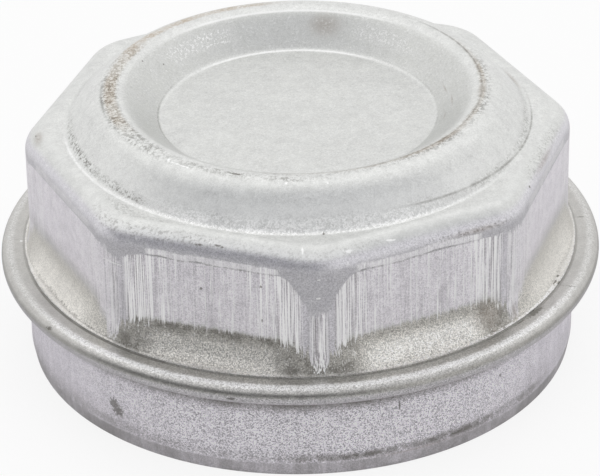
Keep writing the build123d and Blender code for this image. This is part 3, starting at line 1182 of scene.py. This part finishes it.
def side_metal(finish, place, groups):
    """Plating on the bend and in the scoops, and bare metal where the die has scraped the flats."""
    material, graph, shader = new_metal("zinc_sides")
    on_cap = graph.group(groups.places)
    streaks = graph.group(groups.streaks, Place=on_cap["Place"])
    plating = graph.group(groups.grain, Place=on_cap["Place"])
    zones = side_zones(graph, on_cap, streaks, plating, place)
    base = plated_base(graph, finish, plating)
    base = graph.mix(graph.times(zones.bend, 0.9), base, finish.bend)
    dull_and_shade = graph.times(zones.bend, graph.ramp(plating["Mottle"], 0.2, 0.8), 0.12)
    base = graph.mix(dull_and_shade, base, finish.dull)
    base = graph.mix(zones.scoop, base, finish.scoop)
    base = graph.mix(zones.worn, base, finish.worn)
    base, scraped = die_marks(graph, base, finish, on_cap, streaks, plating, zones, place)
    front = graph.scaled(graph.front_and_back(on_cap["Turn"], 50), 0.8, 0.2)
    coarse = graph.scaled(zones.scoop, 0.85, graph.times(zones.worn, 0.3))
    coarse = graph.scaled(zones.bend, 0.25, coarse)
    base = grained(graph, base, plating, graph.scaled(coarse, front, 0.12), 0.13)
    grime, dirt_and_shade = side_shade_and_grime(graph, on_cap, plating, zones, place)
    base = graph.mix(grime, base, finish.grime)
    # The bright mask holds painted highlights as well as scraped lines
    rubbed = side_rubbed_and_highlit(graph, on_cap, plating, zones, place, scraped)
    base, bright, dirt_and_shade = lay_marks(graph, base, finish, on_cap, plating, SIDE_MARKS, rubbed, dirt_and_shade)
    satin = finish.plated_roughness
    rough = graph.scaled(zones.worn, finish.worn_roughness - satin, satin)
    rough = graph.scaled(zones.scoop, finish.grain_roughness - satin, rough)
    scattered = graph.most(
        graph.times(zones.worn, finish.worn_scatter),
        graph.times(zones.scoop, finish.scoop_scatter),
        graph.times(bright, finish.bright_scatter),
    )
    dress(graph, shader, base, graph.scaled(dirt_and_shade, finish.dirt_roughness, rough), scattered)
    relief = graph.scaled(streaks["Fine"], 0.3, graph.times(plating["Grain"], 0.3))
    add_bump(graph, shader, relief, finish.side_relief)
    return material


def base_shade_and_grime(graph, on_cap, plating, flange, sizes, place):
    """Masks of painted shade and soiling on the flange and skirt, and of a dark line of painted shade at the
    flange's root.
    """
    turn = on_cap["Turn"]
    radius = on_cap["Radius"]
    height = on_cap["Height"]
    foot = place.foot_radius / MM
    fold = place.fold_height / MM
    flange_edge = sizes.flange_radius / MM
    skirt_top = sizes.skirt_length / MM
    taper = sizes.lead_in_height / MM
    front = graph.front_and_back(turn, 55)
    # Painted shade at the flange's root below the head, on the flange's sides and under the flange, and a
    # dark reflection painted on the flange's outer round
    root = graph.times(graph.fall(radius, foot + 0.7, foot + 1.9), flange, front, 0.18)
    beside = graph.times(graph.invert(front), flange, 0.15)
    outer = graph.ramp(radius, flange_edge - 0.7, flange_edge - 0.35)
    edge_depth = graph.scaled(front, 0.28, 0.3)
    edge = graph.times(graph.band(height, fold + 0.3, fold + 0.75, 0.25), outer, edge_depth)
    crease = graph.ramp(height, skirt_top - 3.4, skirt_top - 1.3)
    crease = graph.times(crease, graph.fall(radius, foot + 0.6, foot + 1.6))
    crease = graph.times(crease, graph.fall(height, fold - 1.3, fold - 0.9), 0.95)
    uneven = graph.ramp(plating["Mottle"], 0.0, 0.7, 0.2, 0.85)
    smudge_turns = graph.most(graph.sector(turn, -68, 30), graph.times(graph.sector(turn, -110, 40), 0.4))
    smudge = graph.times(graph.band(height, 2.0, 3.1, 0.5), smudge_turns, uneven)
    # Darker low on the skirt at the left; painted shade at the rim and over the lead-in; darker towards the
    # bottom on the sides
    side = graph.times(graph.sector(turn, -158, 16), graph.fall(height, 1.2, 4.4), uneven, 0.7)
    rim = graph.times(graph.fall(height, 0.0, 1.4), 0.55)
    lead_in = graph.times(graph.fall(height, taper, taper + 0.4), 0.45)
    side_darkening = graph.scaled(graph.front_and_back(turn, 34), -0.13, 0.16)
    low_half = graph.times(graph.fall(height, 3.5, 6.3), side_darkening, graph.front_and_back(turn, 80))
    grime = graph.math("ADD", graph.most(root, beside, edge, crease, smudge, side, rim, lead_in), low_half)
    # A dark line of painted shade in the crease at the flange's root, beside the die line
    lip_turns = graph.most(graph.sector(turn, -142, 24), graph.times(graph.sector(turn, -60, 60), 0.6), 0.45)
    line = graph.times(graph.band(radius, foot + 0.12, foot + 0.35, 0.1), flange, lip_turns, 0.9)
    return graph.times(grime, graph.ramp(plating["Clouds"], 0.1, 0.9, 0.75, 1.0)), line


def base_rubbed_and_highlit(graph, on_cap, plating, flange, sizes, place):
    """Mask of the bright edges of the base: the die line's painted highlight, and a painted highlight with
    rubbed nicks on the flange's upper round.
    """
    radius = on_cap["Radius"]
    height = on_cap["Height"]
    lip_top = place.lip_top / MM
    flange_top = place.flange_top / MM
    flange_edge = sizes.flange_radius / MM
    nicked = graph.ramp(plating["Specks"], 0.4, 0.56, 0.45, 1.0)
    nicked = graph.times(nicked, graph.ramp(plating["Grain"], 0.2, 0.8, 0.6, 1.75))
    # A painted highlight on the die line's edge, broken by nicks
    lip_edge_highlight = graph.band(height, lip_top - 0.05, lip_top + 0.1, 0.05)
    lip_edge_highlight = graph.times(lip_edge_highlight, nicked, lip_highlight_strength(graph, on_cap))
    # A painted highlight on the flange's upper round, strongest at the front and back, broken by rubbed nicks
    upper = graph.times(graph.ramp(height, flange_top - 0.4, flange_top - 0.2), flange)
    front = graph.scaled(graph.front_and_back(on_cap["Turn"], 55), 0.75, 0.25)
    at_edge = graph.band(radius, flange_edge - 1.6, flange_edge - 0.75, 0.35)
    at_edge = graph.times(at_edge, upper, nicked, front)
    return graph.most(lip_edge_highlight, at_edge)


def base_metal(finish, sizes, place, groups):
    """Plating on the die line, the folded flange and the skirt."""
    material, graph, shader = new_metal("zinc_base")
    on_cap = graph.group(groups.places)
    streaks = graph.group(groups.streaks, Place=on_cap["Place"])
    plating = graph.group(groups.grain, Place=on_cap["Place"])
    height = on_cap["Height"]
    fold = place.fold_height / MM
    skirt_top = sizes.skirt_length / MM
    taper = sizes.lead_in_height / MM
    skirt = graph.fall(height, skirt_top - 0.9, skirt_top - 0.3)
    flange = graph.invert(skirt)
    # The flange's lower round takes some of the skirt's paler colour, as a painted reflection of the floor
    lower = graph.ramp(height, fold - 0.1, fold + 0.35, 0.5, 0.0)
    base = graph.mix(graph.most(skirt, lower), finish.flange, finish.skirt)
    fine = graph.times(graph.centred(streaks["Fine"]), graph.ramp(height, taper, taper + 0.6, 0.7, 0.0))
    upright = graph.math("ADD", graph.centred(streaks["Broad"]), fine)
    upright_tone = graph.scaled(upright, graph.ramp(height, taper, taper + 0.6, 0.22, 0.1), 1.0)
    base = graph.mix(skirt, base, graph.mix(1.0, base, graph.grey(upright_tone), "MULTIPLY"))
    front = graph.scaled(graph.front_and_back(on_cap["Turn"], 34, 0.2, 1.8), 0.74, 0.26)
    coarse = graph.times(graph.scaled(skirt, 0.5, 0.75), graph.ramp(height, taper, taper + 0.6, 0.4, 1.0))
    base = grained(graph, base, plating, graph.times(coarse, front), 0.13)
    grime, line = base_shade_and_grime(graph, on_cap, plating, flange, sizes, place)
    base = graph.mix(grime, base, finish.grime)
    # The bright mask holds painted highlights on the die line and the flange's round
    rubbed = base_rubbed_and_highlit(graph, on_cap, plating, flange, sizes, place)
    base, bright, dirt_and_shade = lay_marks(graph, base, finish, on_cap, plating, BASE_MARKS, rubbed, line)
    satin = finish.flange_roughness
    rough = graph.scaled(skirt, finish.grain_roughness - satin, satin)
    scattered = graph.most(
        graph.times(skirt, finish.skirt_scatter),
        graph.ramp(height, fold + 0.5, fold + 1.0, 0.0, finish.flange_scatter),
        graph.times(bright, finish.bright_scatter),
    )
    dress(graph, shader, base, graph.scaled(dirt_and_shade, finish.dirt_roughness, rough), scattered)
    add_bump(graph, shader, graph.times(plating["Grain"], coarse), finish.base_relief)
    return material


def inside_metal(finish, groups):
    """Plain plating inside the cap."""
    material, graph, shader = new_metal("zinc_plain_inside")
    on_cap = graph.group(groups.places)
    plating = graph.group(groups.grain, Place=on_cap["Place"])
    base = graph.mix(graph.times(plating["Clouds"], 0.5), finish.inside, finish.plated)
    tone = graph.scaled(plating["Grain"], 0.16, 0.92)
    base = graph.mix(1.0, base, graph.grey(tone), "MULTIPLY")
    graph.feed(shader.inputs["Base Color"], base)
    shader.inputs["Roughness"].default_value = finish.grain_roughness
    add_bump(graph, shader, plating["Grain"], finish.inside_relief)
    return material


def finish_index(face, inside, place):
    """Which finish a face has: 0 on the top, 1 on the sides, 2 on the flange and skirt, 3 inside."""
    if all(inside[index] for index in face.vertices):
        return 3
    if face.center.z > place.shoulder_top - SAME_POINT:
        return 0
    if face.center.z > place.lip_top + SAME_POINT:
        return 1
    return 2


class CAP_OT_drawn_shell(bpy.types.Operator):
    """Models the drawn sheet of the cap and gives it its finish"""

    bl_idname = "cap.drawn_shell"
    bl_label = "Drawn shell"

    def execute(self, context):
        sizes = context.scene.cap_sizes
        finish = context.scene.cap_finish
        place = levels(sizes)
        stations = section(sizes, place)
        shell = spun_blank(sizes, stations)
        inside = press_sides(shell, sizes, place, stations)
        groups = SimpleNamespace(places=places_group(), streaks=streaks_group(), grain=grain_group())
        for material in (
            top_metal(finish, place, groups),
            side_metal(finish, place, groups),
            base_metal(finish, sizes, place, groups),
            inside_metal(finish, groups),
        ):
            shell.data.materials.append(material)
        for face in shell.data.polygons:
            face.material_index = finish_index(face, inside, place)
        bpy.ops.object.select_all(action="DESELECT")
        shell.select_set(True)
        context.view_layer.objects.active = shell
        bpy.ops.object.shade_smooth_by_angle(angle=SMOOTH_ANGLE)
        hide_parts("cap_shell")
        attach(shell, "root")
        return {"FINISHED"}


def plain_light(name, tone):
    """A material that shows one tone, whatever lights it."""
    material = bpy.data.materials.new(name)
    material.use_nodes = True
    graph = Graph(material.node_tree)
    material.node_tree.nodes.clear()
    glow = graph.node("ShaderNodeEmission")
    graph.feed(glow.inputs[0], tone)
    graph.feed(graph.node("ShaderNodeOutputMaterial").inputs[0], glow.outputs[0])
    return material


def seen_directly(graph):
    """1 for rays from the camera and for those that metal or glass sends on, and the kinds of ray."""
    rays = graph.node("ShaderNodeLightPath").outputs
    return graph.most(rays["Is Camera Ray"], rays["Is Glossy Ray"], rays["Is Transmission Ray"]), rays


def floor_material(stage):
    """White floor that keeps the cap's soft shadow, and shows a little darker in the metal beside it."""
    material = bpy.data.materials.new("studio_floor")
    material.use_nodes = True
    graph = Graph(material.node_tree)
    shader = material.node_tree.nodes["Principled BSDF"]
    shader.inputs["Base Color"].default_value = FLOOR_WHITE
    shader.inputs["Roughness"].default_value = FLOOR_ROUGHNESS
    shader.inputs["Specular IOR Level"].default_value = 0.0
    seen, rays = seen_directly(graph)
    coordinates = graph.node("ShaderNodeTexCoord")
    away = graph.node("ShaderNodeVectorMath", operation="DISTANCE")
    graph.feed(away.inputs[0], coordinates.outputs["Object"])
    away.inputs[1].default_value = (0, -stage.dim_floor / 2, 0)
    dim = graph.fall(away.outputs[1], stage.dim_floor / 2, stage.dim_floor)
    near = graph.times(dim, rays["Is Glossy Ray"])
    tone = graph.scaled(near, stage.near_floor - 1.0, 1.0)
    glow = graph.node("ShaderNodeEmission")
    graph.feed(glow.inputs[0], graph.grey(tone))
    blend = graph.node("ShaderNodeMixShader")
    graph.feed(blend.inputs[0], graph.times(seen, FLOOR_SHOWN))
    graph.feed(blend.inputs[1], shader.outputs[0])
    graph.feed(blend.inputs[2], glow.outputs[0])
    graph.feed(material.node_tree.nodes["Material Output"].inputs[0], blend.outputs[0])
    return material


def studio_world(stage):
    """White surroundings, which light the cap more softly than they show."""
    world = bpy.data.worlds.new("studio")
    world.use_nodes = True
    graph = Graph(world.node_tree)
    background = world.node_tree.nodes["Background"]
    background.inputs[0].default_value = (1.0, 1.0, 1.0, 1.0)
    seen, _ = seen_directly(graph)
    strength = graph.scaled(seen, 1.0 - stage.fill_light, stage.fill_light)
    graph.feed(background.inputs[1], strength)
    bpy.context.scene.world = world


def for_metal_only(card):
    """Hides a card from the camera and from the lamps."""
    card.visible_camera = False
    card.visible_diffuse = False
    card.visible_shadow = False


def camera_card(stage):
    """A grey card round the camera's side, which only the metal sees."""
    tall = CARD_RADIUS * math.tan(stage.card_rise)
    middle = -math.pi / 2 - stage.camera_heading
    bpy.ops.object.select_all(action="DESELECT")
    bpy.ops.mesh.primitive_cylinder_add(
        vertices=CARD_FACES, radius=CARD_RADIUS, depth=tall, end_fill_type="NOTHING", location=(0, 0, 0)
    )
    card = bpy.context.object
    card.name = "camera_card"
    bpy.ops.object.mode_set(mode="EDIT")
    bpy.ops.mesh.select_all(action="SELECT")
    bpy.ops.transform.translate(value=(0, 0, tall / 2 + CARD_GAP))
    for edge, outward in ((middle - stage.card_left, -1), (middle + stage.card_right, 1)):
        across = (-outward * math.sin(edge), outward * math.cos(edge), 0)
        bpy.ops.mesh.select_all(action="SELECT")
        bpy.ops.mesh.bisect(plane_co=(0, 0, 0), plane_no=across, clear_outer=True)
    bpy.ops.object.mode_set(mode="OBJECT")
    card.data.materials.append(plain_light("card_grey", stage.card_grey))
    for_metal_only(card)
    return card


def roof_card(stage):
    """A pale card above the cap on the camera's side, which only the metal sees."""
    bpy.ops.object.select_all(action="DESELECT")
    bpy.ops.mesh.primitive_plane_add(size=1.0, location=(0, 0, 0))
    card = bpy.context.object
    card.name = "roof_card"
    bpy.ops.object.mode_set(mode="EDIT")
    bpy.ops.mesh.select_all(action="SELECT")
    bpy.ops.transform.resize(value=(ROOF_WIDTH * stage.lamp_size, ROOF_DEPTH * stage.lamp_size, 1))
    bpy.ops.transform.translate(value=(0, -ROOF_FORWARD * stage.lamp_size, stage.lamp_height))
    bpy.ops.object.mode_set(mode="OBJECT")
    card.data.materials.append(plain_light("roof_grey", stage.roof_grey))
    for_metal_only(card)
    return card


class CAP_OT_studio(bpy.types.Operator):
    """Sets up the floor, lamps, cards, surroundings and camera"""

    bl_idname = "cap.studio"
    bl_label = "Studio"

    def execute(self, context):
        stage = context.scene.cap_stage
        bpy.ops.object.select_all(action="DESELECT")
        bpy.ops.mesh.primitive_plane_add(size=stage.floor_size, location=(0, 0, 0))
        floor = context.object
        floor.name = "studio_floor"
        floor.data.materials.append(floor_material(stage))
        card = camera_card(stage)
        roof_card(stage)
        bpy.ops.object.select_all(action="DESELECT")
        bpy.ops.object.light_add(type="AREA", location=(0, 0, stage.lamp_height))
        lamp = context.object
        lamp.name = "soft_lamp"
        lamp.data.size = stage.lamp_size
        lamp.data.energy = stage.lamp_power
        lamp.visible_glossy = False
        bpy.ops.object.light_add(type="AREA", location=(0, 0, 0))
        strip = context.object
        strip.name = "back_strip"
        strip.data.shape = "RECTANGLE"
        strip.data.size = stage.strip_length
        strip.data.size_y = stage.strip_width
        strip.data.energy = stage.strip_power
        lean = Matrix.Rotation(stage.strip_rise - math.pi / 2, 4, "X")
        strip.matrix_world = lean @ Matrix.Translation((0, 0, stage.lamp_height))
        studio_world(stage)
        bpy.ops.object.camera_add()
        camera = context.object
        camera.name = "photo_camera"
        camera.data.sensor_fit = "HORIZONTAL"
        camera.data.sensor_width = SENSOR_WIDTH
        camera.data.lens = stage.focal_pixels * SENSOR_WIDTH / IMAGE_WIDTH
        camera.data.clip_start = CLIP_START
        camera.matrix_world = (
            Matrix.Translation(stage.camera_place)
            @ Matrix.Rotation(-stage.camera_heading, 4, "Z")
            @ Matrix.Rotation(math.pi / 2 - stage.camera_pitch, 4, "X")
            @ Matrix.Rotation(stage.camera_roll, 4, "Z")
        )
        context.scene.camera = camera
        context.scene.view_settings.view_transform = "Standard"
        return {"FINISHED"}


class CAP_PT_panel(bpy.types.Panel):
    """Lists the steps that build the cap and its studio"""

    bl_label = "Hub grease cap"
    bl_space_type = "VIEW_3D"
    bl_region_type = "UI"
    bl_category = "Cap"

    def draw(self, context):
        layout = self.layout
        layout.operator(CAP_OT_drawn_shell.bl_idname)
        layout.operator(CAP_OT_studio.bl_idname)
        for group in (context.scene.cap_sizes, context.scene.cap_finish, context.scene.cap_stage):
            box = layout.box()
            for name in group.__annotations__:
                box.prop(group, name)


CLASSES = (CapSizes, CapFinish, StageSettings, CAP_OT_drawn_shell, CAP_OT_studio, CAP_PT_panel)


def register():
    """Adds the property groups, operators and panel to Blender."""
    for item in CLASSES:
        bpy.utils.register_class(item)
    bpy.types.Scene.cap_sizes = PointerProperty(type=CapSizes)
    bpy.types.Scene.cap_finish = PointerProperty(type=CapFinish)
    bpy.types.Scene.cap_stage = PointerProperty(type=StageSettings)


def unregister():
    """Takes them out again."""
    del bpy.types.Scene.cap_stage
    del bpy.types.Scene.cap_finish
    del bpy.types.Scene.cap_sizes
    for item in reversed(CLASSES):
        bpy.utils.unregister_class(item)


def main():
    """Builds the cap and its studio."""
    register()
    bpy.ops.cap.drawn_shell()
    bpy.ops.cap.studio()


if __name__ == "__main__":
    main()
